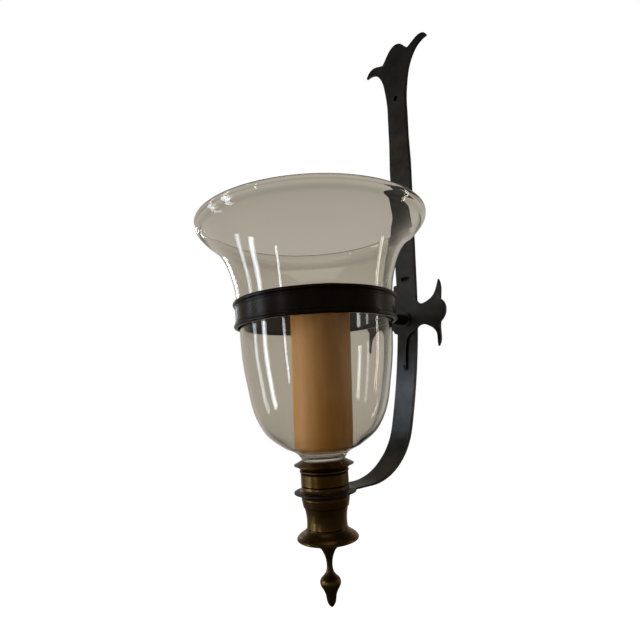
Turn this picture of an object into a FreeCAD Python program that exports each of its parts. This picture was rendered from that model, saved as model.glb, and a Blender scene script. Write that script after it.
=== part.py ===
import FreeCAD, Part
import Sketcher
import math
import os

from FreeCAD import Rotation, Vector

# A wall sconce for one pillar candle in a hurricane glass.
# +Z is up, -Y points out of the wall, +X is to the right of someone facing the wall.
# The origin is the centre of the upper screw hole, on the wall. All sizes are in millimetres.

os.makedirs("parts", exist_ok=True)
document = FreeCAD.newDocument("TorchSconce")
sheet = document.addObject("Spreadsheet::Sheet", "Sizes")

SIZES = (
    # the forged strap that carries everything
    ("strap_thick", 4.0, "thickness of the strap"),
    ("strap_wide", 24.6, "width of the strap where it lies on the wall"),
    ("neck_wide", 22.4, "width of the strap just under its crown"),
    ("arm_wide", 23.2, "width of the strap where it curls under the glass"),
    ("neck_drop", 17.0, "upper screw hole down to the neck, where the crown starts"),
    ("neck_long", 24.0, "length of the neck's straight sides"),
    ("swell_drop", 66.0, "upper screw hole down to the widest place"),
    ("screw_bore", 5.0, "diameter of the upper screw hole"),
    ("slot_long", 11.0, "length of the lower screw slot, end to end"),
    ("slot_high", 4.0, "height of the lower screw slot"),
    ("slot_above_plate", 4.9, "top edge of the cross plate up to the slot's centre"),
    ("crown_rise", 53.2, "upper screw hole up to the top of the crown"),
    ("crown_reach", 38.8, "middle of the strap out to a crown tip"),
    ("crown_tip_rise", 40.1, "upper screw hole up to a crown tip"),
    ("crown_notch_half", 16.2, "middle of the strap out to a notch in the crown"),
    ("crown_notch_rise", 41.8, "upper screw hole up to a notch in the crown"),
    ("crown_edge", 1.6, "thickness of the crown at its top"),
    ("thinning_rise", 12.0, "upper screw hole up to where the crown starts to thin out"),
    ("eye_radius", 26.7, "radius of the round eye at the end of the strap"),
    ("eye_edge", 1.0, "thickness of the eye at its drawn-out edge"),
    ("eye_flat", 21.2, "radius where the eye starts to thin out"),
    ("eye_drop", 369.9, "upper screw hole down to the top of the eye"),
    ("axis_out", 122.9, "wall to the centre line of the glass"),
    ("sweep_one", 560.0, "radius of the first, gentle part of the strap's sweep"),
    ("sweep_two", 128.0, "radius of the second part of the sweep"),
    ("sweep_three", 60.9, "radius of the last part of the sweep"),
    ("turn_one", 14.3, "degrees turned by the first part of the sweep"),
    ("turn_two", 17.9, "degrees turned by the end of the second part"),
    ("arm_end_thick", 1.8, "thickness of the arm where it meets the eye"),
    ("arm_thins_at", 50.0, "degrees of the sweep where the arm starts to thin out"),
    # the cross plate
    ("plate_thick", 2.5, "thickness of the cross plate"),
    ("plate_half", 13.0, "half the width of the cross plate at its top"),
    ("plate_rise", 36.4, "middle of the ring up to the plate's top edge"),
    ("hook_reach", 41.2, "middle of the plate out to a hook tip"),
    ("hook_rise", 32.5, "middle of the ring up to an upper hook tip"),
    ("hook_drop", 30.2, "middle of the ring down to a lower hook tip"),
    ("notch_reach", 42.8, "middle of the plate out to the notches beside a nose"),
    ("notch_up", 13.8, "middle of the ring up to the upper notch"),
    ("notch_down", 7.0, "middle of the ring down to the lower notch"),
    ("nose_reach", 48.4, "middle of the plate out to a nose"),
    ("cusp_drop", 12.6, "middle of the ring down to the cusp where the point starts"),
    ("point_drop", 48.0, "middle of the ring down to the rivet in the point"),
    ("point_radius", 2.6, "radius of the round end of the point"),
    ("rivet_shank", 1.1, "radius of the small rivet"),
    ("rivet_head", 2.1, "radius of the small rivet's head"),
    ("rivet_dome", 1.2, "height of the small rivet's head"),
    ("shank_gap", 0.05, "gap round the shank of a rivet or tenon"),
    # the ring and its post
    ("ring_drop", 230.9, "upper screw hole down to the ring's lower edge"),
    ("ring_high", 20.9, "height of the ring"),
    ("ring_wall", 1.7, "wall of the ring's band"),
    ("bead_high", 3.0, "height of the rolled bead along each edge of the ring"),
    ("bead_proud", 1.3, "how far a bead stands out from the band"),
    ("ring_gap", 0.35, "gap between the glass and the ring"),
    ("post_radius", 5.0, "radius of the post that holds the ring"),
    ("post_flange", 8.0, "radius of the post's flange against the plate"),
    ("post_flange_thick", 2.5, "thickness of that flange"),
    ("tenon_radius", 3.0, "radius of the tenon riveted through plate and strap"),
    # the glass
    ("glass_wall", 3.0, "wall of the glass"),
    ("peg_radius", 10.8, "radius of the peg under the glass"),
    ("peg_long", 16.0, "length of the peg"),
    ("foot_radius", 18.6, "radius of the glass's foot"),
    ("belly_rise", 69.7, "foot of the glass up to the belly"),
    ("belly_in", 4.0, "how far the belly's outside lies inside the glass's radius at the ring"),
    ("shoulder_rise", 26.8, "foot of the glass up to the shoulder"),
    ("shoulder_radius", 49.8, "outer radius of the shoulder"),
    ("heel_rise", 12.0, "foot of the glass up to the heel"),
    ("heel_radius", 34.6, "outer radius of the heel"),
    ("toe_rise", 4.6, "foot of the glass up to the toe, where its short stem opens out"),
    ("toe_radius", 21.8, "outer radius of the toe"),
    ("collar_radius", 65.3, "outer radius of the glass at the ring's top edge"),
    ("throat_rise", 17.0, "top of the ring up to the throat, where the flare starts"),
    ("throat_out", 2.1, "how much wider in radius the throat is than the glass at the ring"),
    ("flare_rise", 41.5, "top of the ring up to the middle of the flare"),
    ("flare_out", 9.8, "how much wider the middle of the flare is than the throat"),
    ("brim_rise", 55.0, "top of the ring up to the brim, where the flare turns up"),
    ("brim_out", 14.2, "how much wider the brim is than the middle of the flare"),
    ("mouth_rise", 63.0, "top of the ring up to the widest place of the mouth"),
    ("mouth_out", 4.0, "how much wider the mouth is than the brim"),
    ("lip_high", 2.0, "height of the rolled lip above the widest place"),
    ("floor_thick", 10.3, "thickness of the glass's floor above its foot"),
    ("floor_radius", 28.0, "radius of the flat floor inside the glass"),
    # the candle
    ("candle_radius", 25.4, "radius of the pillar candle"),
    ("candle_long", 134.0, "length of the pillar candle"),
    ("candle_round", 2.0, "rounding of the candle's top edge"),
    ("wick_radius", 0.9, "radius of the wick"),
    ("wick_long", 9.0, "length of wick above the candle"),
    ("wick_deep", 20.0, "depth of the wick inside the candle"),
    # the turned brass cup
    ("pad_thick", 1.2, "thickness of the felt pad between cup and glass"),
    ("pad_radius", 17.7, "radius of that pad"),
    ("cup_high", 25.2, "height of the cup"),
    ("cup_radius", 20.4, "radius of the cup's drum"),
    ("cup_foot_radius", 21.8, "radius of the cup's foot on the eye"),
    ("cup_foot_high", 3.8, "height of the cup's flared foot"),
    ("cup_groove", 0.8, "depth of the fine grooves turned in the brass"),
    ("cup_bead_rise", 15.3, "foot of the cup up to its bead"),
    ("cup_bead_high", 2.0, "height of the cup's bead"),
    ("cup_lip_radius", 25.6, "radius of the cup's lip"),
    ("cup_lip_rise", 21.3, "foot of the cup up to the lip's edge"),
    ("cup_lip_edge", 0.5, "thickness of the lip at its edge"),
    ("cup_mouth_radius", 19.2, "radius of the flat top of the cup inside its lip"),
    ("cup_floor", 2.0, "thickness of the cup's floor"),
    ("peg_gap", 0.3, "gap between the peg and the cup's bore"),
    # the turned brass pieces under the eye
    ("collar_high", 10.3, "height of the collar"),
    ("collar_lip_radius", 21.8, "radius of the collar's top edge under the eye"),
    ("collar_lip_high", 3.4, "height of the collar's flared top"),
    ("collar_top_radius", 20.8, "radius of the collar at its top"),
    ("collar_low_radius", 19.6, "radius of the collar at its lower edge"),
    ("body_high", 18.3, "height of the body"),
    ("body_top_radius", 18.9, "radius of the body at its top"),
    ("body_waist_radius", 17.3, "radius of the body at its waist"),
    ("body_waist_rise", 4.0, "foot of the body up to its waist"),
    ("skirt_high", 10.4, "height of the skirt"),
    ("skirt_top_radius", 17.6, "radius of the skirt at its top"),
    ("skirt_radius", 26.6, "radius of the skirt's round edge"),
    ("skirt_edge", 2.6, "thickness of the skirt's round edge"),
    ("finial_top_radius", 14.0, "radius of the finial where it meets the skirt"),
    ("trumpet_long", 25.0, "length of the finial's trumpet"),
    ("finial_neck_radius", 2.7, "radius of the finial's neck"),
    ("bulb_drop", 37.5, "top of the finial down to the middle of its bulb"),
    ("bulb_radius", 9.1, "radius of the finial's bulb"),
    ("cone_drop", 48.5, "top of the finial down to the shoulder of its point"),
    ("cone_radius", 4.8, "radius at that shoulder"),
    ("finial_long", 60.0, "length of the finial"),
    # the rod that clamps the brass pieces to the eye
    ("rod_radius", 3.0, "radius of the threaded rod"),
    ("rod_gap", 0.1, "gap between the rod and the bores it passes"),
    ("nut_across", 10.0, "width of the nut across its flats"),
    ("nut_high", 3.2, "height of the nut"),
    ("washer_radius", 9.0, "radius of the washer under the nut"),
    ("washer_thick", 1.0, "thickness of that washer"),
    ("rod_proud", 0.8, "how far the rod stands out of its nut"),
    ("socket_deep", 7.5, "depth of the rod's hole in the finial"),
    ("socket_gap", 0.5, "gap between the rod's end and the bottom of that hole"),
)


class Length:
    """A size from the sheet, or a sum of such sizes: its number now, and its formula."""

    def __init__(self, number, formula):
        self.number = float(number)
        self.formula = formula

    def __add__(self, other):
        other = as_length(other)
        return Length(self.number + other.number, "(%s + %s)" % (self.formula, other.formula))

    def __sub__(self, other):
        other = as_length(other)
        return Length(self.number - other.number, "(%s - %s)" % (self.formula, other.formula))

    def __mul__(self, factor):
        factor = as_length(factor)
        return Length(self.number * factor.number, "(%s * %s)" % (self.formula, factor.formula))

    def __truediv__(self, factor):
        factor = as_length(factor)
        return Length(self.number / factor.number, "(%s / %s)" % (self.formula, factor.formula))

    def __neg__(self):
        return Length(-self.number, "(-1 * %s)" % self.formula)


def as_length(value):
    """A plain number as a Length; a Length as it is."""
    if isinstance(value, Length):
        return value
    return Length(value, repr(float(value)))


class Sizes:
    """Every named size of the sheet, as a Length."""


size = Sizes()
for row, (name, number, words) in enumerate(SIZES, start=1):
    sheet.set("A%d" % row, words)
    sheet.set("B%d" % row, str(number))
    sheet.setAlias("B%d" % row, name)
document.recompute()
for name, number, words in SIZES:
    setattr(size, name, Length(sheet.get(name), "Sizes." + name))

NOTHING = as_length(0.0)
MARGIN = 10.0       # how far cutting shapes reach past what they cut
FRAME = 900.0       # the frame that trims an outline is larger than the object

# --- heights and depths that several pieces share ---------------------------------------------

eye_top = -size.eye_drop
eye_bottom = eye_top - size.strap_thick
ring_low = -size.ring_drop
ring_top = ring_low + size.ring_high
ring_middle = ring_low + size.ring_high / 2
cup_top = eye_top + size.cup_high
foot_level = cup_top + size.pad_thick
floor_level = foot_level + size.floor_thick
candle_top = floor_level + size.candle_long
collar_bottom = eye_bottom - size.collar_high
body_bottom = collar_bottom - size.body_high
skirt_bottom = body_bottom - size.skirt_high
ring_bore = size.collar_radius + size.ring_gap
ring_outer = ring_bore + size.ring_wall
belly_radius = size.collar_radius - size.belly_in
throat_radius = size.collar_radius + size.throat_out
flare_radius = throat_radius + size.flare_out
brim_radius = flare_radius + size.brim_out
mouth_radius = brim_radius + size.mouth_out
rod_bore = size.rod_radius + size.rod_gap
peg_bore = size.peg_radius + size.peg_gap
tenon_bore = size.tenon_radius + size.shank_gap
rivet_bore = size.rivet_shank + size.shank_gap


def sweep_start():
    """Height where the strap leaves the wall, so that its end lies level with the eye."""
    one, two, three = size.sweep_one.number, size.sweep_two.number, size.sweep_three.number
    first = math.radians(size.turn_one.number)
    second = math.radians(size.turn_two.number)
    rise = three + (two - three) * math.sin(second) + (one - two) * math.sin(first)
    return eye_bottom.number + rise


def sweep_point(degrees, depth):
    """Point (y, z) of the swept strap at a heading, a given depth in front of its back face."""
    y = 0.0
    z = sweep_start()
    radii = (size.sweep_one.number, size.sweep_two.number, size.sweep_three.number)
    turns = (0.0, size.turn_one.number, size.turn_two.number, 90.0)
    for radius, start, end in zip(radii, turns, turns[1:]):
        stop = min(end, degrees)
        if stop > start:
            y -= radius * (math.cos(math.radians(start)) - math.cos(math.radians(stop)))
            z -= radius * (math.sin(math.radians(stop)) - math.sin(math.radians(start)))
    return (y - depth * math.cos(math.radians(degrees)), z + depth * math.sin(math.radians(degrees)))


def heading_at(height):
    """Heading in degrees of the first part of the sweep at a height, 0 where it is still upright."""
    fall = max(0.0, sweep_start() - height)
    return math.degrees(math.asin(fall / size.sweep_one.number))


# --- helpers for sketches and features --------------------------------------------------------

def flat(x, y):
    """A point of a sketch."""
    return Vector(x, y, 0.0)


def mirrored(points):
    """The same outline points on the other side of the vertical axis, in reverse order."""
    return [(-x, y) for x, y in reversed(points)]


def swing(start, end, shape):
    """Points of a curved stretch. shape gives each as fractions of the chord: along it and aside."""
    along = (end[0] - start[0], end[1] - start[1])
    aside = (-along[1], along[0])
    inner = [(start[0] + a * along[0] + b * aside[0], start[1] + a * along[1] + b * aside[1])
             for a, b in shape]
    return [start] + inner + [end]


def curve(points):
    """A smooth edge through points of a sketch."""
    spline = Part.BSplineCurve()
    spline.interpolate(Points=[flat(*point) for point in points])
    return spline


def line(start, end):
    """A straight edge of a sketch."""
    return Part.LineSegment(flat(*start), flat(*end))


def arc(start, middle, end):
    """A round edge of a sketch through three points."""
    return Part.Arc(flat(*start), flat(*middle), flat(*end))


def plane_of(body, role):
    """One of a body's own origin planes."""
    return [feature for feature in body.Origin.OriginFeatures if feature.Role == role][0]


def new_body(label):
    """An empty body with the name its file gets."""
    body = document.addObject("PartDesign::Body", "body_" + label)
    body.Label = label
    return body


def new_sketch(body, role, name):
    """A sketch on one of the body's origin planes."""
    sketch = body.newObject("Sketcher::SketchObject", name)
    sketch.AttachmentSupport = [(plane_of(body, role), "")]
    sketch.MapMode = "FlatFace"
    return sketch


def edge_sketch(body, role, name, edges):
    """A sketch of fixed edges, for outlines that are drawn from the sheet's sizes."""
    sketch = new_sketch(body, role, name)
    for edge in edges:
        sketch.addGeometry(edge, False)
    for index in range(len(edges)):
        sketch.addConstraint(Sketcher.Constraint("Block", index))
    return sketch


def corner_sketch(body, role, name, corners):
    """A closed sketch of straight lines whose corners are tied to the sheet."""
    sketch = new_sketch(body, role, name)
    count = len(corners)
    for index, (across, up) in enumerate(corners):
        next_across, next_up = corners[(index + 1) % count]
        start = (across.number, up.number)
        end = (next_across.number, next_up.number)
        sketch.addGeometry(line(start, end), False)
    for index in range(count):
        sketch.addConstraint(Sketcher.Constraint("Coincident", index, 2, (index + 1) % count, 1))
    for index, corner in enumerate(corners):
        for kind, value in zip(("DistanceX", "DistanceY"), corner):
            constraint = Sketcher.Constraint(kind, -1, 1, index, 1, value.number)
            number = sketch.addConstraint(constraint)
            sketch.setExpression("Constraints[%d]" % number, value.formula)
    return sketch


def circle_sketch(body, role, name, radius, across=NOTHING, up=NOTHING):
    """A sketch of one circle whose radius and place are tied to the sheet."""
    sketch = new_sketch(body, role, name)
    circle = Part.Circle(flat(across.number, up.number), Vector(0, 0, 1), radius.number)
    sketch.addGeometry(circle, False)
    for kind, value in (("DistanceX", across), ("DistanceY", up)):
        number = sketch.addConstraint(Sketcher.Constraint(kind, -1, 1, 0, 3, value.number))
        sketch.setExpression("Constraints[%d]" % number, value.formula)
    number = sketch.addConstraint(Sketcher.Constraint("Radius", 0, radius.number))
    sketch.setExpression("Constraints[%d]" % number, radius.formula)
    return sketch


def pad(body, sketch, length, both_ways=False):
    """Material as thick as length on one side of a sketch, or half of it on each side."""
    feature = body.newObject("PartDesign::Pad", "pad_" + sketch.Name)
    feature.Profile = sketch
    feature.Midplane = both_ways
    feature.setExpression("Length", length.formula)
    return feature


def cut_through(body, sketch):
    """A cut of a sketch's area right through the body, on both sides of the sketch."""
    feature = body.newObject("PartDesign::Pocket", "cut_" + sketch.Name)
    feature.Profile = sketch
    feature.Type = "ThroughAll"
    feature.Midplane = True
    return feature


def spin(body, sketch):
    """Material made by turning a sketch once round the vertical axis."""
    feature = body.newObject("PartDesign::Revolution", "spin_" + sketch.Name)
    feature.Profile = sketch
    feature.ReferenceAxis = (sketch, ["V_Axis"])
    feature.Angle = 360.0
    return feature


def place(piece, across=NOTHING, out=NOTHING, up=NOTHING):
    """Set a piece down: across is +X, out is away from the wall (-Y), up is +Z."""
    piece.setExpression("Placement.Base.x", across.formula)
    piece.setExpression("Placement.Base.y", (-out).formula)
    piece.setExpression("Placement.Base.z", up.formula)


def frame_edges():
    """Four lines far outside the object, so that what lies between them and an outline is cut."""
    corners = [(-FRAME, -FRAME), (FRAME, -FRAME), (FRAME, FRAME), (-FRAME, FRAME)]
    return [line(corner, corners[(index + 1) % 4]) for index, corner in enumerate(corners)]


def slab_edges(near, far, top, last_heading):
    """Side outline of a strip that follows the strap, from one depth to another."""
    edges = []
    start = sweep_start()
    inner = [(-near, top), (-near, start)]
    outer = [(-far, top), (-far, start)]
    edges.append(line(outer[0], inner[0]))
    edges.append(line(inner[0], inner[1]))
    edges.append(line(outer[0], outer[1]))
    turns = [0.0, size.turn_one.number, size.turn_two.number, 90.0]
    for begin, end in zip(turns, turns[1:]):
        stop = min(end, last_heading)
        if stop > begin:
            middle = (begin + stop) / 2
            for depth in (near, far):
                edges.append(arc(sweep_point(begin, depth), sweep_point(middle, depth),
                                 sweep_point(stop, depth)))
    return edges


# --- the forged strap -------------------------------------------------------------------------

# Each stretch of the crown between two named points, as fractions of the chord, along and aside.
UNDER_CROWN = ((0.26, 0.12), (0.42, 0.17), (0.60, 0.205), (0.785, 0.19), (0.87, 0.157), (0.955, 0.08))
OVER_CROWN = ((0.15, -0.17), (0.43, -0.23), (0.70, -0.14))
CROWN_DOME = ((0.28, -0.04), (0.57, -0.10), (0.88, -0.06))


def strap_outline():
    """Front outline of the strap: straight sides and a three-lobed crown."""
    half_neck = size.neck_wide.number / 2
    half_wall = size.strap_wide.number / 2
    half_arm = size.arm_wide.number / 2
    neck = (half_neck, -size.neck_drop.number)
    neck_end = (half_neck, -(size.neck_drop + size.neck_long).number)
    swell = (half_wall, -size.swell_drop.number)
    bend = (half_arm, sweep_start())
    low = (half_arm, -FRAME / 2)
    tip = (size.crown_reach.number, size.crown_tip_rise.number)
    notch = (size.crown_notch_half.number, size.crown_notch_rise.number)
    top = (0.0, size.crown_rise.number)
    side = [low, bend, swell, neck_end, neck]
    edges = [line((-low[0], low[1]), low)]
    edges += [line(start, end) for start, end in zip(side, side[1:])]
    stretches = [(neck, tip, UNDER_CROWN), (tip, notch, OVER_CROWN), (notch, top, CROWN_DOME)]
    for start, end, shape in stretches:
        edges.append(curve(swing(start, end, shape)))
    for start, end, shape in reversed(stretches):
        edges.append(curve(mirrored(swing(start, end, shape))))
    left = mirrored(side)
    edges += [line(start, end) for start, end in zip(left, left[1:])]
    return edges


def make_strap():
    """Strap: swept strip, trimmed to its outline, with a knife-edged eye, screw holes and bores."""
    body = new_body("strap_forging")
    thick = size.strap_thick.number
    top = size.crown_rise.number + MARGIN
    thinning = size.arm_thins_at.number
    end_thick = size.arm_end_thick.number
    halfway = (thinning + 90.0) / 2
    edges = slab_edges(0.0, thick, top, thinning)
    back_end = sweep_point(90.0, 0.0)
    front_end = sweep_point(90.0, end_thick)
    edges.append(arc(sweep_point(thinning, 0.0), sweep_point(halfway, 0.0), back_end))
    edges.append(arc(sweep_point(thinning, thick), sweep_point(halfway, (thick + end_thick) / 2),
                     front_end))
    stop = -size.axis_out.number
    edges.append(line(back_end, (stop, back_end[1])))
    edges.append(line(front_end, (stop, front_end[1])))
    edges.append(line((stop, back_end[1]), (stop, front_end[1])))
    strip = edge_sketch(body, "YZ_Plane", "strap_side", edges)
    pad(body, strip, size.crown_reach * 2 + MARGIN, both_ways=True)
    trim = edge_sketch(body, "XZ_Plane", "strap_front", strap_outline() + frame_edges())
    cut_through(body, trim)
    beyond = -size.strap_thick - MARGIN
    above = size.crown_rise + MARGIN
    thinned = corner_sketch(body, "YZ_Plane", "crown_thinning", (
        (-size.strap_thick, size.thinning_rise),
        (-size.crown_edge, size.crown_rise),
        (-size.crown_edge, above),
        (beyond, above),
        (beyond, size.thinning_rise),
    ))
    cut_through(body, thinned)
    eye = corner_sketch(body, "YZ_Plane", "eye_side", (
        (-size.axis_out, eye_bottom),
        (-size.axis_out + size.eye_flat, eye_bottom),
        (-size.axis_out + size.eye_radius, eye_bottom + (size.strap_thick - size.eye_edge) / 2),
        (-size.axis_out + size.eye_radius, eye_top - (size.strap_thick - size.eye_edge) / 2),
        (-size.axis_out + size.eye_flat, eye_top),
        (-size.axis_out, eye_top),
    ))
    turned = body.newObject("PartDesign::Revolution", "spin_eye_side")
    turned.Profile = eye
    turned.ReferenceAxis = (eye, ["Edge6"])
    turned.Angle = 360.0
    bore = circle_sketch(body, "XY_Plane", "eye_bore", rod_bore, up=-size.axis_out)
    cut_through(body, bore)
    screw = circle_sketch(body, "XZ_Plane", "screw_hole", size.screw_bore / 2)
    cut_through(body, screw)
    tenon = circle_sketch(body, "XZ_Plane", "tenon_hole", tenon_bore, up=ring_middle)
    cut_through(body, tenon)
    middle = ring_middle + size.plate_rise + size.slot_above_plate
    round_end = size.slot_high.number / 2
    reach = size.slot_long.number / 2 - round_end
    level = middle.number
    slot_edges = [
        line((-reach, level - round_end), (reach, level - round_end)),
        arc((reach, level - round_end), (reach + round_end, level), (reach, level + round_end)),
        line((reach, level + round_end), (-reach, level + round_end)),
        arc((-reach, level + round_end), (-reach - round_end, level), (-reach, level - round_end)),
    ]
    slot = edge_sketch(body, "XZ_Plane", "screw_slot", slot_edges)
    cut_through(body, slot)
    return body


# --- the cross plate --------------------------------------------------------------------------

VALLEY = ((0.06, -0.30), (0.12, -0.60), (0.22, -0.72), (0.36, -0.77), (0.60, -0.70), (0.84, -0.52),
          (0.95, -0.27))
HOOK_OUTSIDE = ((0.19, 0.06), (0.40, 0.08), (0.66, 0.055))
LOW_HOOK_OUTSIDE = ((0.20, -0.01), (0.45, 0.03), (0.70, 0.07))
LOW_HOOK_INSIDE = ((0.15, -0.17), (0.26, -0.285), (0.44, -0.35), (0.62, -0.345), (0.84, -0.29), (0.97, -0.17))
POINT_SIDE = ((0.08, -0.12), (0.22, -0.20), (0.41, -0.19), (0.68, -0.12))


def plate_outline():
    """Front outline of the cross plate: a flat top, two hooked arms with a nose, and a point."""
    middle = ring_middle.number
    corner = (size.plate_half.number, middle + size.plate_rise.number)
    hook = (size.hook_reach.number, middle + size.hook_rise.number)
    upper_notch = (size.notch_reach.number, middle + size.notch_up.number)
    lower_notch = (size.notch_reach.number, middle - size.notch_down.number)
    nose = (size.nose_reach.number, (upper_notch[1] + lower_notch[1]) / 2)
    low_hook = (size.hook_reach.number, middle - size.hook_drop.number)
    cusp = (size.plate_half.number, middle - size.cusp_drop.number)
    point = (size.point_radius.number, middle - size.point_drop.number)
    end = (0.0, point[1] - size.point_radius.number)
    arm = [swing(corner, hook, VALLEY), swing(hook, upper_notch, HOOK_OUTSIDE)]
    tail = [swing(lower_notch, low_hook, LOW_HOOK_OUTSIDE),
            swing(low_hook, cusp, LOW_HOOK_INSIDE),
            swing(cusp, point, POINT_SIDE)]
    edges = [line(mirrored([corner])[0], corner), arc(point, end, mirrored([point])[0])]
    edges.append(arc(upper_notch, nose, lower_notch))
    edges.append(arc(*mirrored([upper_notch, nose, lower_notch])))
    for points in arm + tail:
        edges.append(curve(points))
        edges.append(curve(mirrored(points)))
    return edges


def make_plate():
    """Cross plate: a strip that lies on the swept strap, trimmed to its outline, with two holes."""
    body = new_body("plate_forging")
    near = size.strap_thick.number
    far = near + size.plate_thick.number
    top = ring_middle.number + size.plate_rise.number + MARGIN
    last = size.turn_one.number
    edges = slab_edges(near, far, top, last)
    edges.append(line(sweep_point(last, near), sweep_point(last, far)))
    strip = edge_sketch(body, "YZ_Plane", "plate_side", edges)
    pad(body, strip, size.nose_reach * 2 + MARGIN, both_ways=True)
    trim = edge_sketch(body, "XZ_Plane", "plate_front", plate_outline() + frame_edges())
    cut_through(body, trim)
    tenon = circle_sketch(body, "XZ_Plane", "plate_tenon_hole", tenon_bore, up=ring_middle)
    cut_through(body, tenon)
    return body


def cut_away(label, base, tools):
    """A piece with the shapes of its tools cut away."""
    cut = document.addObject("Part::Cut", label)
    cut.Label = label
    cut.Base = base
    if len(tools) == 1:
        cut.Tool = tools[0]
    else:
        cut.Tool = join(label + "_tools", tools)
    return cut


def join(label, pieces):
    """One solid made of several that touch."""
    joined = document.addObject("Part::MultiFuse", label)
    joined.Label = label
    joined.Shapes = pieces
    return joined


def cylinder(label, radius, length):
    """A cylinder tied to the sheet."""
    piece = document.addObject("Part::Cylinder", label)
    piece.Label = label
    piece.setExpression("Radius", radius.formula)
    piece.setExpression("Height", length.formula)
    return piece


def outward(piece, level):
    """Lay an upright piece down, so that it points straight out of the wall at a level."""
    piece.Placement = FreeCAD.Placement(Vector(0, 0, 0), Rotation(Vector(1, 0, 0), 90.0))
    piece.setExpression("Placement.Base.z", level.formula)
    return piece


def square_to_point(piece):
    """Set an upright piece on the strap's back at the plate's point, square to the strap."""
    level = ring_middle.number - size.point_drop.number
    heading = heading_at(level)
    back = sweep_point(heading, 0.0)
    turn = Rotation(Vector(1, 0, 0), 90.0 - heading)
    piece.Placement = FreeCAD.Placement(Vector(0, back[0], back[1]), turn)
    return piece


def make_rivet():
    """Small domed rivet through the plate's point and the strap."""
    body = new_body("plate_rivet")
    face = size.strap_thick.number + size.plate_thick.number
    shank = size.rivet_shank.number
    head = size.rivet_head.number
    dome = size.rivet_dome.number
    ball = (head ** 2 + dome ** 2) / (2 * dome)
    half_turn = math.asin(head / ball) / 2
    crest = (0.0, face + dome)
    between = (ball * math.sin(half_turn), face + dome - ball + ball * math.cos(half_turn))
    edges = [
        line((0.0, 0.0), (shank, 0.0)),
        line((shank, 0.0), (shank, face)),
        line((shank, face), (head, face)),
        arc((head, face), between, crest),
        line(crest, (0.0, 0.0)),
    ]
    spin(body, edge_sketch(body, "XZ_Plane", "rivet_side", edges))
    return square_to_point(body)


# --- turned pieces ----------------------------------------------------------------------------

def turned(label, corners, level, rounded=None):
    """A piece turned round the glass's centre line.

    corners are those of its half section, each a radius and a height above level. rounded maps
    the number of a corner to the points that the smooth stretch after it passes through.
    """
    rounded = rounded or {}
    body = new_body(label)
    sketch = new_sketch(body, "XZ_Plane", label + "_section")
    count = len(corners)
    for index, corner in enumerate(corners):
        following = corners[(index + 1) % count]
        points = [corner] + list(rounded.get(index, ())) + [following]
        numbers = [(radius.number, height.number) for radius, height in points]
        if index in rounded:
            sketch.addGeometry(curve(numbers), False)
        else:
            sketch.addGeometry(line(*numbers), False)
    for index in range(count):
        before = (index - 1) % count
        if index in rounded:
            sketch.addConstraint(Sketcher.Constraint("Block", index))
        elif before not in rounded:
            for kind, value in zip(("DistanceX", "DistanceY"), corners[index]):
                datum = Sketcher.Constraint(kind, -1, 1, index, 1, value.number)
                number = sketch.addConstraint(datum)
                sketch.setExpression("Constraints[%d]" % number, value.formula)
    for index in range(count):
        sketch.addConstraint(Sketcher.Constraint("Coincident", index, 2, (index + 1) % count, 1))
    spin(body, sketch)
    place(body, out=size.axis_out, up=level)
    return body


def in_sizes(points):
    """Plain points as pairs of Length."""
    return [(as_length(radius), as_length(height)) for radius, height in points]


def between(start, end, shape):
    """The inner points of a smooth stretch between two corners, by fractions of its chord."""
    points = swing((start[0].number, start[1].number), (end[0].number, end[1].number), shape)
    return in_sizes(points[1:-1])


def hoop(label, inner, outer, low, high, level):
    """A plain hoop with a rectangular section."""
    return turned(label, ((inner, low), (outer, low), (outer, high), (inner, high)), level)


def ring_bead(label, low):
    """A rolled bead along one edge of the ring: a hoop with a round outer side."""
    high = low + size.bead_high
    corners = ((ring_bore, low), (ring_outer, low), (ring_outer, high), (ring_bore, high))
    proud = size.bead_proud.number / size.bead_high.number
    shape = ((0.08, -0.6 * proud), (0.25, -0.9 * proud), (0.5, -proud),
             (0.75, -0.9 * proud), (0.92, -0.6 * proud))
    return turned(label, corners, ring_low, {1: between(corners[1], corners[2], shape)})


def make_post():
    """Post that carries the ring: a tenon through plate and strap, a flange and a saddle end."""
    through = size.strap_thick + size.plate_thick
    stem = outward(cylinder("post_stem", size.post_radius,
                            size.axis_out - ring_outer + size.ring_wall / 2), ring_middle)
    flange = outward(cylinder("post_collar", size.post_flange,
                              through + size.post_flange_thick), ring_middle)
    tenon = outward(cylinder("post_tenon", size.tenon_radius,
                             through + size.post_flange_thick), ring_middle)
    saddle = cylinder("saddle_cut", ring_outer, size.ring_high)
    place(saddle, out=size.axis_out, up=ring_low)
    behind = new_body("behind_plate")
    far = size.strap_thick.number + size.plate_thick.number
    top = ring_middle.number + size.plate_rise.number
    last = size.turn_one.number
    edges = slab_edges(-MARGIN, far, top, last)
    edges.append(line(sweep_point(last, -MARGIN), sweep_point(last, far)))
    side = edge_sketch(behind, "YZ_Plane", "behind_side", edges)
    pad(behind, side, size.post_flange * 2 + MARGIN, both_ways=True)
    shoulders = cut_away("post_shoulders", join("post_stock", [stem, flange]), [saddle, behind])
    return join("ring_post", [shoulders, tenon])


def glass_profile():
    """Outer side of the glass above its foot, as (radius, height above the foot)."""
    ring_height = (ring_top - foot_level).number
    return [
        (size.foot_radius.number, 0.0),
        (size.toe_radius.number, size.toe_rise.number),
        (size.heel_radius.number, size.heel_rise.number),
        (size.shoulder_radius.number, size.shoulder_rise.number),
        (belly_radius.number, size.belly_rise.number),
        (size.collar_radius.number, ring_height),
        (throat_radius.number, ring_height + size.throat_rise.number),
        (flare_radius.number, ring_height + size.flare_rise.number),
        (brim_radius.number, ring_height + size.brim_rise.number),
        (mouth_radius.number, ring_height + size.mouth_rise.number),
    ]


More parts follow.
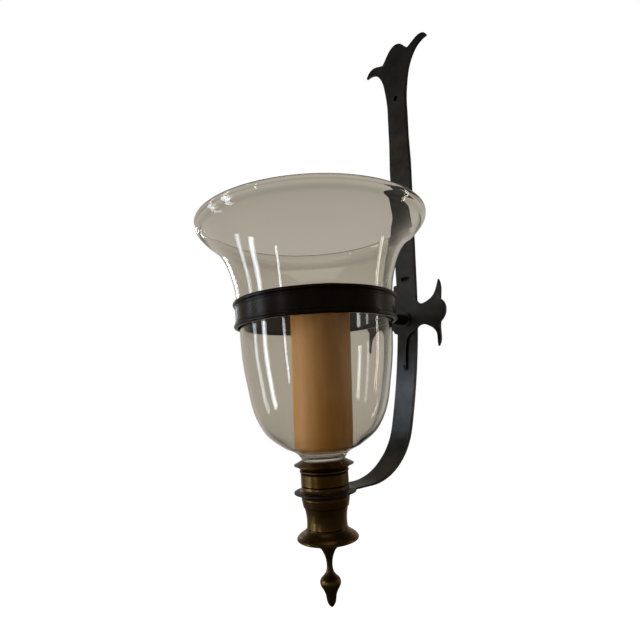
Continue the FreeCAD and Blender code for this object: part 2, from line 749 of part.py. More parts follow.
def inside_of(points, wall):
    """The points between the ends of a profile, moved inwards by the wall."""
    moved = []
    for before, point, after in zip(points, points[1:], points[2:]):
        run = (after[0] - before[0], after[1] - before[1])
        length = math.hypot(*run)
        moved.append((point[0] - wall * run[1] / length, point[1] + wall * run[0] / length))
    return moved


def make_glass():
    """Hurricane glass: a solid peg and foot, a round-heeled body and a flared, rolled mouth."""
    outside = glass_profile()
    wall = size.glass_wall.number
    inside = list(reversed(inside_of(outside, wall)))
    mouth_height = ring_top - foot_level + size.mouth_rise
    corners = (
        (NOTHING, -size.peg_long),
        (size.peg_radius, -size.peg_long),
        (size.peg_radius, NOTHING),
        (size.foot_radius, NOTHING),
        (mouth_radius, mouth_height),
        (mouth_radius - size.glass_wall, mouth_height),
        (size.floor_radius, size.floor_thick),
        (NOTHING, size.floor_thick),
    )
    lip = ((mouth_radius - size.glass_wall / 8, mouth_height + size.lip_high / 2),
           (mouth_radius - size.glass_wall / 2, mouth_height + size.lip_high),
           (mouth_radius - size.glass_wall * 7 / 8, mouth_height + size.lip_high / 2))
    rounded = {3: in_sizes(outside[1:-1]), 4: lip, 5: in_sizes(inside)}
    return turned("glass_shade", corners, foot_level, rounded)


def make_candle():
    """Pillar candle with a rounded top edge and a hole for its wick."""
    high = size.candle_long
    edge = size.candle_round
    hole = size.wick_radius + size.shank_gap
    corners = (
        (NOTHING, NOTHING),
        (size.candle_radius, NOTHING),
        (size.candle_radius, high - edge),
        (size.candle_radius - edge, high),
        (hole, high),
        (hole, high - size.wick_deep),
        (NOTHING, high - size.wick_deep),
    )
    in_edge = edge * (1 - math.sqrt(0.5))
    rounded = {2: ((size.candle_radius - in_edge, high - in_edge),)}
    return turned("candle", corners, floor_level, rounded)


def make_wick():
    """Wick that stands in the candle."""
    wick = cylinder("candle_wick", size.wick_radius, size.wick_deep + size.wick_long)
    place(wick, out=size.axis_out, up=candle_top - size.wick_deep)
    return wick


FOOT_COVE = ((0.42, 0.15),)
COLLAR_COVE = ((0.58, 0.12),)
LIP_COVE = ((0.28, 0.04), (0.63, 0.07))
HALF_ROUND = ((0.19, -0.27), (0.50, -0.35), (0.81, -0.27))


def make_cup():
    """Brass cup: flared foot, drum, bead between fine grooves, thin lip and a bore for the peg."""
    drum = size.cup_radius
    cut = size.cup_groove
    bead_top = size.cup_bead_rise + size.cup_bead_high
    corners = (
        (rod_bore, NOTHING),
        (size.cup_foot_radius, NOTHING),
        (drum, size.cup_foot_high),
        (drum - cut, size.cup_foot_high + cut / 2),
        (drum, size.cup_foot_high + cut),
        (drum, size.cup_bead_rise - cut),
        (drum - cut, size.cup_bead_rise - cut / 2),
        (drum, size.cup_bead_rise),
        (drum, bead_top),
        (drum - cut, bead_top + cut / 2),
        (drum, bead_top + cut),
        (size.cup_lip_radius, size.cup_lip_rise),
        (size.cup_lip_radius, size.cup_lip_rise + size.cup_lip_edge),
        (size.cup_mouth_radius, size.cup_high),
        (peg_bore, size.cup_high),
        (peg_bore, size.cup_floor),
        (rod_bore, size.cup_floor),
    )
    rounded = {
        1: between(corners[1], corners[2], FOOT_COVE),
        7: between(corners[7], corners[8], HALF_ROUND),
        10: between(corners[10], corners[11], LIP_COVE),
    }
    return turned("glass_cup", corners, eye_top, rounded)


def make_collar():
    """Brass collar under the eye: a flared top edge and a slightly tapered drum."""
    corners = (
        (rod_bore, NOTHING),
        (size.collar_low_radius, NOTHING),
        (size.collar_top_radius, size.collar_high - size.collar_lip_high),
        (size.collar_lip_radius, size.collar_high),
        (rod_bore, size.collar_high),
    )
    rounded = {2: between(corners[2], corners[3], COLLAR_COVE)}
    return turned("upper_collar", corners, collar_bottom, rounded)


def make_lower_body():
    """Waisted brass body between the collar and the skirt."""
    corners = (
        (rod_bore, NOTHING),
        (size.skirt_top_radius, NOTHING),
        (size.body_top_radius, size.body_high),
        (rod_bore, size.body_high),
    )
    rounded = {1: ((size.body_waist_radius, size.body_waist_rise),)}
    return turned("lower_body", corners, body_bottom, rounded)


SKIRT_SIDE = ((0.40, 0.02), (0.76, 0.06))


def make_skirt():
    """Flared brass skirt with a round edge."""
    half_edge = size.skirt_edge / 2
    edge_side = (size.skirt_radius, half_edge)
    edge_top = (size.skirt_radius - half_edge / 2, size.skirt_edge)
    top = (size.skirt_top_radius, size.skirt_high)
    corners = (
        (rod_bore, NOTHING),
        (size.skirt_radius - half_edge, NOTHING),
        top,
        (rod_bore, size.skirt_high),
    )
    rounded = {1: [edge_side, edge_top] + between(edge_top, top, SKIRT_SIDE)}
    return turned("skirt_cap", corners, skirt_bottom, rounded)


TRUMPET = ((0.22, -0.04), (0.40, -0.11), (0.62, -0.12), (0.82, -0.08))
UNDER_NECK = ((0.21, -0.06), (0.57, -0.02), (0.80, 0.04))
BULB_LOW = ((0.21, 0.04), (0.52, 0.01))
POINT_CONE = ((0.36, 0.09), (0.71, 0.11))


def make_finial():
    """Finial: a trumpet, a thin neck, a bulb and a point, with a hole for the rod."""
    neck = (size.finial_neck_radius, -size.trumpet_long)
    bulb = (size.bulb_radius, -size.bulb_drop)
    cone = (size.cone_radius, -size.cone_drop)
    tip = (NOTHING, -size.finial_long)
    start = (size.finial_top_radius, NOTHING)
    side = between(start, neck, TRUMPET) + [neck] + between(neck, bulb, UNDER_NECK) + [bulb]
    side += between(bulb, cone, BULB_LOW) + [cone] + between(cone, tip, POINT_CONE)
    corners = (
        (rod_bore, NOTHING),
        start,
        tip,
        (NOTHING, -size.socket_deep),
        (rod_bore, -size.socket_deep),
    )
    return turned("finial", corners, skirt_bottom, {1: side})


def make_rod():
    """Threaded rod, drawn plain, that clamps cup, eye and brass pieces together."""
    top = eye_top + size.cup_floor + size.washer_thick + size.nut_high + size.rod_proud
    bottom = skirt_bottom - size.socket_deep + size.socket_gap
    rod = cylinder("centre_rod", size.rod_radius, top - bottom)
    place(rod, out=size.axis_out, up=bottom)
    return rod


def make_nut():
    """Six-sided nut on top of the rod, in the bottom of the cup."""
    level = eye_top + size.cup_floor + size.washer_thick
    blank = document.addObject("Part::Prism", "nut_blank")
    blank.Polygon = 6
    blank.setExpression("Circumradius", (size.nut_across / math.sqrt(3.0)).formula)
    blank.setExpression("Height", size.nut_high.formula)
    bore = cylinder("nut_bore", rod_bore, size.nut_high)
    for piece in (blank, bore):
        place(piece, out=size.axis_out, up=level)
    return cut_away("rod_nut", blank, [bore])


# --- the object -------------------------------------------------------------------------------

strap_hole = square_to_point(cylinder("strap_rivet_hole", rivet_bore, size.strap_thick * 4))
plate_hole = square_to_point(cylinder("plate_rivet_hole", rivet_bore, size.strap_thick * 4))
band_low = size.bead_high
band_high = size.ring_high - size.bead_high

pieces = [
    cut_away("back_strap", make_strap(), [strap_hole]),
    cut_away("cross_plate", make_plate(), [plate_hole]),
    make_rivet(),
    make_post(),
    hoop("ring_band", ring_bore, ring_outer, band_low, band_high, ring_low),
    ring_bead("ring_bead_upper", band_high),
    ring_bead("ring_bead_lower", NOTHING),
    make_glass(),
    hoop("foot_pad", peg_bore, size.pad_radius, NOTHING, size.pad_thick, cup_top),
    make_candle(),
    make_wick(),
    make_cup(),
    make_collar(),
    make_lower_body(),
    make_skirt(),
    make_finial(),
    make_rod(),
    make_nut(),
    hoop("rod_washer", rod_bore, size.washer_radius, NOTHING, size.washer_thick,
         eye_top + size.cup_floor),
]

document.recompute()
for item in document.Objects:
    for word in ("Invalid", "Error"):
        if word in item.State:
            raise RuntimeError("%s is left in state %s" % (item.Label, item.State))
for piece in pieces:
    shape = piece.Shape
    if shape.isNull() or not shape.isValid() or len(shape.Solids) != 1:
        raise RuntimeError("%s has no single valid solid" % piece.Label)
for piece in pieces:
    piece.Shape.exportStep("parts/%s.step" % piece.Label)
    box = piece.Shape.BoundBox
    print("%-16s %9.1f mm3  x %7.1f %6.1f  y %7.1f %6.1f  z %7.1f %7.1f" % (
        piece.Label, piece.Shape.Volume, box.XMin, box.XMax, box.YMin, box.YMax, box.ZMin, box.ZMax))
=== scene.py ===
# %% [markdown]
# # A torch sconce of forged iron, turned brass and blown glass
# The solids of this wall light were drawn in CAD and are the fixed frame of the scene. This lesson gives them
# their camera, their finishes and their light, and remakes a few pieces whose beauty lies in small detail.
# Places are in metres, and the outlines and the sizes of patterns are in millimetres. The back of the strap is
# at y = 0, the front faces -Y, and the upper screw hole is at the origin.

# %% Load the frame
import math

import bmesh
import bpy
from mathutils import Matrix, Vector


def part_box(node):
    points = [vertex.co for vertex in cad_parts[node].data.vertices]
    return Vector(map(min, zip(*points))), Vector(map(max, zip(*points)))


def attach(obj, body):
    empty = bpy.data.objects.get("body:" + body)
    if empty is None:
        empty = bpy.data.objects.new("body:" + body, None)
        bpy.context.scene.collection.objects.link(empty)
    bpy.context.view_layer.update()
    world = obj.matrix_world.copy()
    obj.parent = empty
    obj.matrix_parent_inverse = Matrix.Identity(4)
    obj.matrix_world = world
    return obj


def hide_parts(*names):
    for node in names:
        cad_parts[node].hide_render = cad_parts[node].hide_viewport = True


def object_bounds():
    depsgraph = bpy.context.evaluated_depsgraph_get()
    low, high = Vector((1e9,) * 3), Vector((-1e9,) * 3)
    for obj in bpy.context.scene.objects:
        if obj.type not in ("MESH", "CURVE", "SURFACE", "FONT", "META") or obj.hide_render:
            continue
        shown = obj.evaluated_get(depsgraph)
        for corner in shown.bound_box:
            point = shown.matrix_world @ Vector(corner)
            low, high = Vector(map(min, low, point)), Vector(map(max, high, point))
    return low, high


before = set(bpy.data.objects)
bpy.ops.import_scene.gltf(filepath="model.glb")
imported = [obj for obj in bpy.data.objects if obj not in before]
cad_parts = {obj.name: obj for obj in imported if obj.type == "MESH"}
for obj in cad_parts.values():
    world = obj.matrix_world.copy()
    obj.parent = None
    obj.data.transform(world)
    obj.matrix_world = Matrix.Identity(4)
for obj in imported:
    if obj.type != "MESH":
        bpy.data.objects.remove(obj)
cad_low, cad_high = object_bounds()
MM = 0.001
print("nodes:", len(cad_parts))
print("size in mm:", [round(side / MM, 1) for side in cad_high - cad_low])

# %% [markdown]
# ## The camera
# The picture was taken from the right of the sconce and a little below its ring, close by, with the camera held
# slightly crooked. The lens and place below were fitted to the outlines of the ring, the glass's mouth, the
# turned cup, the strap with its crown and slot, and the cross plate. The shift moves the picture up without
# tilting the camera, as a view camera does, so upright lines stay upright.

# %% Place the camera
CAMERA_PLACE = (0.310895, -0.377514, -0.283717)
YAW, PITCH, ROLL = 50.71, -1.44, -3.29
SENSOR_WIDTH = 36.0
LENS = 26.516
SHIFT_UP = 0.125
NEAREST_SEEN = 0.01


def put_in_scene(name, data):
    """A new object with that name and data, in the scene."""
    thing = bpy.data.objects.new(name, data)
    bpy.context.scene.collection.objects.link(thing)
    return thing


camera = put_in_scene("camera", bpy.data.cameras.new("camera"))
camera.data.sensor_width = SENSOR_WIDTH
camera.data.lens = LENS
camera.data.shift_y = SHIFT_UP
camera.data.clip_start = NEAREST_SEEN
camera.matrix_world = (
    Matrix.Translation(CAMERA_PLACE)
    @ Matrix.Rotation(math.radians(YAW), 4, "Z")
    @ Matrix.Rotation(math.radians(90 + PITCH), 4, "X")
    @ Matrix.Rotation(math.radians(ROLL), 4, "Z")
)
bpy.context.scene.camera = camera
print("camera at", tuple(round(c, 3) for c in camera.location), "lens", LENS, "mm")

# %% [markdown]
# ## Colours and shader nodes
# Colours are easiest to compare with a picture as sRGB hex values, but Blender's shaders add and multiply
# light, which needs linear numbers. One function turns one into the other. A second adds any kind of shader
# node with its settings, its links and, for a colour ramp, its stops. A third starts a material, and a fourth
# turns the real size of a pattern's features into the scale that a texture asks for.

# %% Helpers for materials
def linear(hex_colour):
    """A hex colour such as #c8a060 as linear red, green, blue and alpha."""
    parts = [int(hex_colour[i : i + 2], 16) / 255 for i in (1, 3, 5)]
    return tuple(p / 12.92 if p <= 0.04045 else ((p + 0.055) / 1.055) ** 2.4 for p in parts) + (1.0,)


def add_node(tree, kind, settings=(), links=(), stops=()):
    """Adds a node, sets its sockets or properties, links its inputs and places a ramp's stops."""
    node = tree.nodes.new("ShaderNode" + kind)
    for name, value in dict(settings).items():
        if isinstance(name, int) or name in node.inputs:
            node.inputs[name].default_value = value
        else:
            setattr(node, name, value)
    for name, socket in dict(links).items():
        tree.links.new(socket, node.inputs[name])
    for i, (place, colour) in enumerate(stops):
        stop = node.color_ramp.elements[i] if i < 2 else node.color_ramp.elements.new(place)
        stop.position = place
        stop.color = linear(colour)
    return node


def start_material(name, finish):
    """A new material with one Principled shader, set as finish says, and its object coordinates."""
    material = bpy.data.materials.new(name)
    material.use_nodes = True
    tree = material.node_tree
    tree.nodes.clear()
    shader = add_node(tree, "BsdfPrincipled", finish)
    add_node(tree, "OutputMaterial", links={"Surface": shader.outputs["BSDF"]})
    place = add_node(tree, "TexCoord").outputs["Object"]
    return material, tree, shader, place


def grain(millimetres):
    """The scale of a texture whose features are that large."""
    return 1 / (millimetres * MM)


print("mid grey is", round(linear("#808080")[0], 3), "in linear light")

# %% [markdown]
# ## Forged iron, blacked and waxed
# The strap and the cross plate are mild steel, beaten hot, then blacked and rubbed with wax. The hammer leaves
# shallow dents a fingertip wide, scale leaves a fine grain, and the wax is thicker in some places than in
# others, so the sheen changes. A warm patch shows on the neck. A ramp along the height gives the colours, and
# it paints light into them too: a painted bluish reflection of the windows on the lower arm, a curl painted
# light olive as if lit, and a lighter band higher up, a painted reflection of the glass in front of it. The eye
# at the foot is darkest and brown. Soft noise breaks the colours up, and two bumps give the dents and the
# grain.

# %% Make the iron
WAX_BLOTCH, HAMMER_DENT, SCALE_GRIT = 26, 11, 1.4  # Sizes of the patterns, in millimetres.
RUBBED_PLACE = (0.002, -0.004, -0.045)
RUBBED_RADIUS, RUBBED_HEART = 15 * MM, 3 * MM
IRON_FOOT, IRON_TOP = -0.40, 0.06
# Height and colour along the iron, with painted light in it. The bluish stops on the lower arm are a painted
# reflection of the windows, the light olive curl is painted as if lit, and the lighter stops higher up paint
# the glass's reflection.
IRON_AND_PAINTED_LIGHT_BY_HEIGHT = (
    (-0.400, "#1c1610"), (0.060, "#38342f"), (-0.374, "#1d150e"), (-0.362, "#656155"), (-0.345, "#3b372e"),
    (-0.325, "#4a4d51"), (-0.290, "#6a6d75"), (-0.250, "#282117"), (-0.160, "#2d2820"), (-0.100, "#46433d"),
    (-0.020, "#3d3935"),
)


def make_iron(name):
    """Blacked and waxed iron with painted light along its height, from the eye at its foot to the crown at its
    top.
    """
    material, tree, shader, place = start_material(
        name, {"Metallic": 0.4, "Specular IOR Level": 0.4, "Coat Weight": 0.08, "Coat Roughness": 0.4})
    height = add_node(tree, "SeparateXYZ", links={"Vector": place}).outputs["Z"]
    share = add_node(tree, "MapRange", {"From Min": IRON_FOOT, "From Max": IRON_TOP}, {"Value": height})
    stops = [((z - IRON_FOOT) / (IRON_TOP - IRON_FOOT), colour) for z, colour in IRON_AND_PAINTED_LIGHT_BY_HEIGHT]
    # This ramp paints the reflections and light along the iron over its blacked colour.
    black_and_painted_light = add_node(tree, "ValToRGB", links={"Fac": share.outputs["Result"]}, stops=stops)
    blotch = add_node(tree, "TexNoise", {"Scale": grain(WAX_BLOTCH), "Detail": 5.0, "Roughness": 0.62},
                      {"Vector": place})
    uneven = add_node(tree, "ValToRGB", links={"Fac": blotch.outputs["Fac"]},
                      stops=((0.30, "#bdb9b4"), (0.70, "#ffffff")))
    waxy_and_painted_light = add_node(tree, "MixRGB", {"blend_type": "MULTIPLY", "Fac": 1.0},
                    {"Color1": black_and_painted_light.outputs["Color"], "Color2": uneven.outputs["Color"]})
    away = add_node(tree, "VectorMath", {"operation": "DISTANCE", 1: RUBBED_PLACE}, {0: place})
    near = add_node(tree, "MapRange", {"From Min": RUBBED_RADIUS, "From Max": RUBBED_HEART},
                    {"Value": away.outputs["Value"]})
    flaky = add_node(tree, "MapRange", {"From Min": 0.42, "From Max": 0.58}, {"Value": blotch.outputs["Fac"]})
    patch = add_node(tree, "Math", {"operation": "MULTIPLY"},
                     {0: near.outputs["Result"], 1: flaky.outputs["Result"]})
    rubbed_and_painted_light = add_node(tree, "MixRGB", {"Color2": linear("#4d382c")},
                      {"Fac": patch.outputs["Value"], "Color1": waxy_and_painted_light.outputs["Color"]})
    grit = add_node(tree, "TexNoise", {"Scale": grain(SCALE_GRIT), "Detail": 4.0, "Roughness": 0.7},
                    {"Vector": place})
    dents = add_node(tree, "TexVoronoi",
                     {"Scale": grain(HAMMER_DENT), "feature": "SMOOTH_F1", "Smoothness": 1.0},
                     {"Vector": place})
    tree.links.new(rubbed_and_painted_light.outputs["Color"], shader.inputs["Base Color"])
    waxed = add_node(tree, "MapRange", {"From Min": 0.3, "From Max": 0.7, "To Min": 0.36, "To Max": 0.56},
                     {"Value": blotch.outputs["Fac"]})
    tree.links.new(waxed.outputs["Result"], shader.inputs["Roughness"])
    beaten = add_node(tree, "Bump", {"Strength": 0.55, "Distance": 0.9 * MM},
                      {"Height": dents.outputs["Distance"]})
    scaled = add_node(tree, "Bump", {"Strength": 0.35, "Distance": 0.12 * MM},
                      {"Height": grit.outputs["Fac"], "Normal": beaten.outputs["Normal"]})
    tree.links.new(scaled.outputs["Normal"], shader.inputs["Normal"])
    return material


iron_with_painted_light = make_iron("blacked_iron_with_painted_light")
print("made", iron_with_painted_light.name)

# %% [markdown]
# ## Bronze and brass
# The ring is dark patinated bronze. The turned pieces are antique brass, clouded from brown to olive gold by
# soft noise. Both were turned on a lathe, so their finest marks run round the axis. A wave along the height
# draws them as a weak bump, and its own distortion breaks them up. Real tool marks are too fine to show in the
# picture, so these are drawn about 6 mm apart. A dark line marks each seam of the brass.

# %% Make the turned metals
SEAM_HALF = 0.35 * MM
CUP_GROOVES = (3.9, 14.1, 17.9)
cup_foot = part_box("glass_cup")[0].z
BRASS_SEAMS = [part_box(piece)[0].z for piece in ("upper_collar", "lower_body", "skirt_cap")]
BRASS_SEAMS += [cup_foot + rise * MM for rise in CUP_GROOVES]
PATINA_CLOUD, WORN_SPECK = 14, 2.2
WAVE_RADIANS = 20  # The angle that a wave texture runs through in one unit of its scaled length.


def make_turned(name, dark, mid, light, groove, rough, metallic, seams=()):
    """A turned metal, darkest to lightest colour, with marks 2 pi times groove millimetres apart."""
    material, tree, shader, place = start_material(name, {"Metallic": metallic, "Specular IOR Level": 0.25})
    patina = add_node(tree, "TexNoise", {"Scale": grain(PATINA_CLOUD), "Detail": 3.0, "Roughness": 0.5},
                      {"Vector": place})
    colour = add_node(tree, "ValToRGB", links={"Fac": patina.outputs["Fac"]},
                      stops=((0.30, dark), (0.75, light), (0.52, mid)))
    shade = colour.outputs["Color"]
    if seams:
        height = add_node(tree, "SeparateXYZ", links={"Vector": place}).outputs["Z"]
    for seam in seams:
        line = add_node(tree, "Math", {"operation": "COMPARE", 1: seam, 2: SEAM_HALF}, {0: height})
        shade = add_node(tree, "MixRGB", {"Color2": linear("#0b0704")},
                         {"Fac": line.outputs["Value"], "Color1": shade}).outputs["Color"]
    tree.links.new(shade, shader.inputs["Base Color"])
    tarnish = add_node(tree, "MapRange",
                       {"From Min": 0.3, "From Max": 0.7, "To Min": rough + 0.07, "To Max": rough},
                       {"Value": patina.outputs["Fac"]})
    tree.links.new(tarnish.outputs["Result"], shader.inputs["Roughness"])
    marks = add_node(tree, "TexWave",
                     {"wave_type": "BANDS", "bands_direction": "Z", "Scale": grain(groove) / WAVE_RADIANS,
                      "Distortion": 0.6, "Detail": 2.0, "Detail Scale": 0.4}, {"Vector": place})
    cut = add_node(tree, "Bump", {"Strength": 0.25, "Distance": 0.08 * MM}, {"Height": marks.outputs["Fac"]})
    speck = add_node(tree, "TexNoise", {"Scale": grain(WORN_SPECK), "Detail": 3.0}, {"Vector": place})
    worn = add_node(tree, "Bump", {"Strength": 0.2, "Distance": 0.02 * MM},
                    {"Height": speck.outputs["Fac"], "Normal": cut.outputs["Normal"]})
    tree.links.new(worn.outputs["Normal"], shader.inputs["Normal"])
    return material


ring_bronze = make_turned("patinated_bronze", "#120b06", "#1a1009", "#24170e", 1.1, 0.26, 0.35)
old_brass = make_turned("antique_brass", "#4c381c", "#604824", "#765e38", 0.9, 0.27, 0.85, BRASS_SEAMS)
print("made", ring_bronze.name, "and", old_brass.name)

# %% [markdown]
# ## Blown glass
# The shade is soda glass, blown and then flared. It is clear with a faint warm grey, smooth as water, and its
# wall is a little wavy, which bends what is seen through it. A broad, weak bump gives that waviness, drawn
# out along the height as the blown wall was. The peg under it is ground rough, so that it grips in the cup,
# and looks white.

# %% Make the glass
GLASS_DRAWN_OUT = (1, 1, 0.35)


def make_glass(name, rough, ripple, deep):
    """Soda glass of that roughness, with ripples that wide and deep, in millimetres."""
    material, tree, shader, place = start_material(
        name, {"Base Color": linear("#f6f4f0"), "Transmission Weight": 1.0, "IOR": 1.52, "Roughness": rough})
    upright = add_node(tree, "Mapping", {"Scale": GLASS_DRAWN_OUT}, {"Vector": place})
    waves = add_node(tree, "TexNoise", {"Scale": grain(ripple), "Detail": 0.0},
                     {"Vector": upright.outputs["Vector"]})
    wavy = add_node(tree, "Bump", {"Strength": 0.35, "Distance": deep * MM}, {"Height": waves.outputs["Fac"]})
    tree.links.new(wavy.outputs["Normal"], shader.inputs["Normal"])
    return material


clear_glass = make_glass("blown_soda_glass", 0.0, 40, 0.08)
ground_glass = make_glass("ground_soda_glass", 0.55, 1.2, 0.3)
print("made", clear_glass.name, "and", ground_glass.name)

# %% [markdown]
# ## Wax, wick, felt and steel
# The candle is a cast pillar of tan wax. Light enters wax and leaves it nearby, which subsurface scattering
# does, and casting leaves faint upright streaks. The wick is plaited cotton, charred at its tip. The pad under
# the glass is wool felt, and the hidden rod, nut and washer are plain steel.

# %% Make the soft and hidden finishes
WAX_GLOW = 4 * MM
WAX_DRAWN_OUT = (1, 1, 0.12)
WAX_STREAK, FELT_FIBRE = 7, 0.8
CHAR_FROM, CHAR_FULL = 7 * MM, 3 * MM

candle_wax, tree, shader, place = start_material(
    "cast_pillar_wax",
    {"Roughness": 0.5, "Subsurface Weight": 0.35, "Subsurface Radius": (1.0, 0.55, 0.3),
     "Subsurface Scale": WAX_GLOW},
)
upright = add_node(tree, "Mapping", {"Scale": WAX_DRAWN_OUT}, {"Vector": place})
streak = add_node(tree, "TexNoise", {"Scale": grain(WAX_STREAK), "Detail": 4.0},
                  {"Vector": upright.outputs["Vector"]})
tan = add_node(tree, "ValToRGB", links={"Fac": streak.outputs["Fac"]},
               stops=((0.30, "#cc8a34"), (0.72, "#d89b47"), (0.52, "#d2923c")))
tree.links.new(tan.outputs["Color"], shader.inputs["Base Color"])
lumpy = add_node(tree, "Bump", {"Strength": 0.3, "Distance": 0.4 * MM}, {"Height": streak.outputs["Fac"]})
tree.links.new(lumpy.outputs["Normal"], shader.inputs["Normal"])

wick_cotton, tree, shader, place = start_material("plaited_wick", {"Roughness": 0.85})
height = add_node(tree, "SeparateXYZ", links={"Vector": place}).outputs["Z"]
wick_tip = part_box("candle_wick")[1].z
burnt = add_node(tree, "MapRange", {"From Min": wick_tip - CHAR_FROM, "From Max": wick_tip - CHAR_FULL},
                 {"Value": height})
char = add_node(tree, "ValToRGB", links={"Fac": burnt.outputs["Result"]},
                stops=((0.0, "#cbb994"), (1.0, "#1c1917")))
tree.links.new(char.outputs["Color"], shader.inputs["Base Color"])

pad_felt, tree, shader, place = start_material("wool_felt", {"Roughness": 0.95, "Sheen Weight": 0.3})
fibre = add_node(tree, "TexNoise", {"Scale": grain(FELT_FIBRE), "Detail": 3.0}, {"Vector": place})
pale = add_node(tree, "ValToRGB", links={"Fac": fibre.outputs["Fac"]},
                stops=((0.3, "#dcd6c8"), (0.7, "#f0ebdf")))
tree.links.new(pale.outputs["Color"], shader.inputs["Base Color"])
matted = add_node(tree, "Bump", {"Strength": 0.5, "Distance": 0.2 * MM}, {"Height": fibre.outputs["Fac"]})
tree.links.new(matted.outputs["Normal"], shader.inputs["Normal"])

plain_steel = make_turned("turned_steel", "#8d8d8b", "#a09f9c", "#b3b1ad", 0.7, 0.3, 1.0)
print("made", candle_wax.name, wick_cotton.name, pad_felt.name, plain_steel.name)

# %% [markdown]
# ## Turning on the lathe
# Glass, felt, candle and ring are all round, so each is an outline turned about one upright axis, which
# Blender's spin does. A soft outline is a Bezier curve with automatic handles through a few measured points,
# because that is how a blown or worn shape runs. A crisp outline is the plain points.

# %% A lathe
band_low, band_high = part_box("ring_band")
AXIS_OUT = -0.5 * (band_low.y + band_high.y)
AXIS = Vector((0, -AXIS_OUT, 0))
CURVE_STEPS = 8
WELD = 0.01 * MM


def soft_line(points):
    """The points as a smooth line: a Bezier curve with automatic handles, made into a mesh."""
    curve = bpy.data.curves.new("outline", "CURVE")
    curve.dimensions = "3D"
    curve.resolution_u = CURVE_STEPS
    line = curve.splines.new("BEZIER")
    line.bezier_points.add(len(points) - 1)
    for knot, (radius, height) in zip(line.bezier_points, points):
        knot.co = (radius * MM, 0, height * MM)
        knot.handle_left_type = knot.handle_right_type = "AUTO"
    holder = bpy.data.objects.new("outline", curve)
    made = bpy.data.meshes.new_from_object(holder)
    smooth = [(v.co.x / MM, v.co.z / MM) for v in made.vertices]
    bpy.data.objects.remove(holder)
    bpy.data.curves.remove(curve)
    bpy.data.meshes.remove(made)
    return smooth


def turn(outline, foot, steps=96, closed=False):
    """Turns an outline of (radius, height) in millimetres about the axis. Its zero height is at foot."""
    shape = bmesh.new()
    knots = [shape.verts.new((max(radius, 0) * MM, 0, height * MM)) for radius, height in outline]
    pairs = list(zip(knots, knots[1:])) + ([(knots[-1], knots[0])] if closed else [])
    edges = [shape.edges.new(pair) for pair in pairs]
    bmesh.ops.spin(shape, geom=knots + edges, axis=(0, 0, 1), cent=(0, 0, 0), steps=steps,
                   angle=2 * math.pi, use_merge=True)
    bmesh.ops.remove_doubles(shape, verts=shape.verts, dist=WELD)
    bmesh.ops.recalc_face_normals(shape, faces=shape.faces)
    bmesh.ops.translate(shape, verts=shape.verts, vec=AXIS + Vector((0, 0, foot)))
    return shape


def finish_piece(shape, name, body, stands_for, materials, sharp=40):
    """Makes the shape an object that rides on its body and stands for its CAD node."""
    mesh = bpy.data.meshes.new(name)
    for face in shape.faces:
        face.smooth = True
    shape.to_mesh(mesh)
    shape.free()
    mesh.set_sharp_from_angle(angle=math.radians(sharp))
    for material in materials:
        mesh.materials.append(material)
    piece = put_in_scene(name, mesh)
    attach(piece, body)
    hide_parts(stands_for)
    print(name, "has", len(mesh.polygons), "faces")
    return piece


print("the axis is", round(AXIS_OUT / MM, 1), "mm in front of the back of the strap")

# %% [markdown]
# ## The blown shade
# The shade was blown into a bell, cracked off, flared, and its mouth was rolled and fire polished, so the lip
# is a round bead a little thicker than the wall. Its two faces and the bead are one outline, from the end of
# the peg round to the floor inside. Heights are above the foot, which stands on the felt. The candle
# rests on the slope just above the foot, and through the hollow under it the felt shows as a pale disc.

# %% Blow the shade
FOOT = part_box("foot_pad")[1].z
FLOOR_THICK = 3.2
PEG_LONG, PEG_RADIUS = 16, 10.8
GROUND_BELOW = 0.5 * MM
peg = [(0, -PEG_LONG), (9.8, -PEG_LONG), (PEG_RADIUS, 1 - PEG_LONG), (PEG_RADIUS, -0.9), (11.6, 0)]
outside = soft_line([(18.6, 0), (21.8, 4.6), (34.6, 12), (49.8, 26.8), (61.3, 69.7), (65.3, 133.5),
                     (67.4, 150.5), (77.2, 175.0), (91.4, 188.5), (95.0, 193.6), (95.36, 196.4)])
bead = soft_line([(95.36, 196.4), (94.9, 197.9), (93.8, 198.6), (92.7, 198.0), (92.2, 196.8), (92.1, 195.4)])
inside = soft_line([(92.1, 195.4), (88.9, 190.2), (74.7, 176.8), (64.4, 151.2), (62.3, 133.5), (58.3, 70.0),
                    (46.9, 28.6), (32.6, 14.6), (26.0, 10.6), (23.6, 9.5), (19.2, 5.9), (16.6, 3.8),
                    (14.0, FLOOR_THICK)])
shape = turn(peg + outside + bead[1:] + inside[1:] + [(0, FLOOR_THICK)], FOOT, steps=128)
for face in shape.faces:
    face.material_index = int(face.calc_center_median().z < FOOT - GROUND_BELOW)
shade = finish_piece(shape, "blown_shade", "glass", "glass_shade",
                     (clear_glass, ground_glass))

# Glass lets the lamps' light through, so it is set to throw no shadow on the candle.
shade.visible_shadow = False

# %% [markdown]
# ## The felt under it
# A felt washer keeps the glass off the brass. The glass presses into the felt and leaves no air between them,
# so the felt shows through the foot as a pale ring. Its top therefore reaches a hair into the glass.

# %% Cut the felt
pad_low, pad_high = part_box("foot_pad")
FELT_BORE, FELT_EDGE, FELT_OUT = 11.0, 17.3, 17.7
FELT_ROUND = 0.4
felt_thick = (pad_high.z - pad_low.z) / MM
felt_top = felt_thick + FELT_ROUND
shape = turn([(FELT_BORE, 0), (FELT_EDGE, 0), (FELT_OUT, FELT_ROUND), (FELT_OUT, felt_thick),
              (FELT_EDGE, felt_top), (FELT_BORE, felt_top)], pad_low.z, closed=True)
finish_piece(shape, "felt_washer", "bracket", "foot_pad", (pad_felt,))

# %% [markdown]
# ## The candle
# The candle has burned a little: its middle has sunk into a shallow pool and its rim has softened. It leans
# slightly, as a candle without a holder does, so the turned shape is sheared by that much. The rim has slumped
# a little in three places, which a sine round the axis gives.

